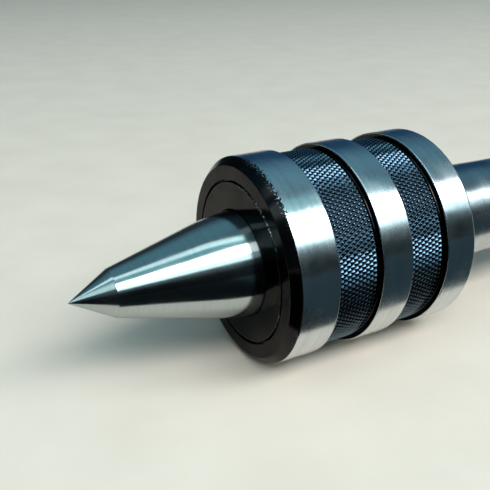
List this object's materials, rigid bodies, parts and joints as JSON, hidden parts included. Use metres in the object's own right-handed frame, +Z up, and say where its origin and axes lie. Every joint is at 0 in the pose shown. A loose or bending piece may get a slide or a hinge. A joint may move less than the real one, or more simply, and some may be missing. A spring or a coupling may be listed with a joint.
{
  "type": "live center",
  "caption": "Revolving lathe center: an extended conical point turning on ball and needle bearings inside a knurled steel body with a Morse taper shank.",
  "frame": {"origin": "centre of the Morse taper's gauge plane, on the axis of rotation", "axes": "+X runs along the axis out of the shank's small end, -X out of the point; +Z up"},
  "size_m": [0.22, 0.06, 0.06],
  "materials": {
    "black_steel": "black oxide with ground lands",
    "cover_steel": "glossy black oxide",
    "point_steel": "fine ground and polished",
    "seal_rubber": "moulded nitrile rubber",
    "spring_steel": "drawn wire",
    "bearing_steel": "ground bearing steel",
    "ball_steel": "lapped",
    "cage_brass": "machined brass",
    "ring_steel": "turned steel",
    "nut_steel": "black oxide"
  },
  "bodies": {
    "body": {"housing": "black_steel", "front_cover": "cover_steel", "shaft_seal": "seal_rubber", "garter_spring": "spring_steel", "front_outer_race": "bearing_steel", "outer_spacer": "ring_steel", "rear_outer_race": "bearing_steel", "thrust_housing_washer": "bearing_steel", "needle_cup": "bearing_steel"},
    "spindle": {"spindle": "point_steel", "front_inner_race": "bearing_steel", "inner_spacer": "ring_steel", "rear_inner_race": "bearing_steel", "lock_washer": "ring_steel", "lock_nut": "nut_steel", "thrust_shaft_washer": "bearing_steel"},
    "front_ball_set": {"front_balls": "ball_steel", "front_cage": "cage_brass"},
    "rear_ball_set": {"rear_balls": "ball_steel", "rear_cage": "cage_brass"},
    "thrust_ball_set": {"thrust_balls": "ball_steel", "thrust_cage": "cage_brass"},
    "needle_set": {"needle_rollers": "ball_steel", "needle_cage": "cage_brass"}
  },
  "joints": [
    {"name": "spindle_spin", "type": "hinge", "parent": "body", "child": "spindle", "pos_m": [0, 0, 0], "axis": [-1, 0, 0], "continuous": true},
    {"name": "front_balls_orbit", "type": "hinge", "parent": "body", "child": "front_ball_set", "pos_m": [0, 0, 0], "axis": [-1, 0, 0], "continuous": true},
    {"name": "rear_balls_orbit", "type": "hinge", "parent": "body", "child": "rear_ball_set", "pos_m": [0, 0, 0], "axis": [-1, 0, 0], "continuous": true},
    {"name": "thrust_balls_orbit", "type": "hinge", "parent": "body", "child": "thrust_ball_set", "pos_m": [0, 0, 0], "axis": [-1, 0, 0], "continuous": true},
    {"name": "needles_orbit", "type": "hinge", "parent": "body", "child": "needle_set", "pos_m": [0, 0, 0], "axis": [-1, 0, 0], "continuous": true}
  ],
  "couplings": [
    {"joint": "front_balls_orbit", "follows": "spindle_spin", "ratio": 0.4148},
    {"joint": "rear_balls_orbit", "follows": "spindle_spin", "ratio": 0.4148},
    {"joint": "thrust_balls_orbit", "follows": "spindle_spin", "ratio": 0.5},
    {"joint": "needles_orbit", "follows": "spindle_spin", "ratio": 0.4476}
  ]
}
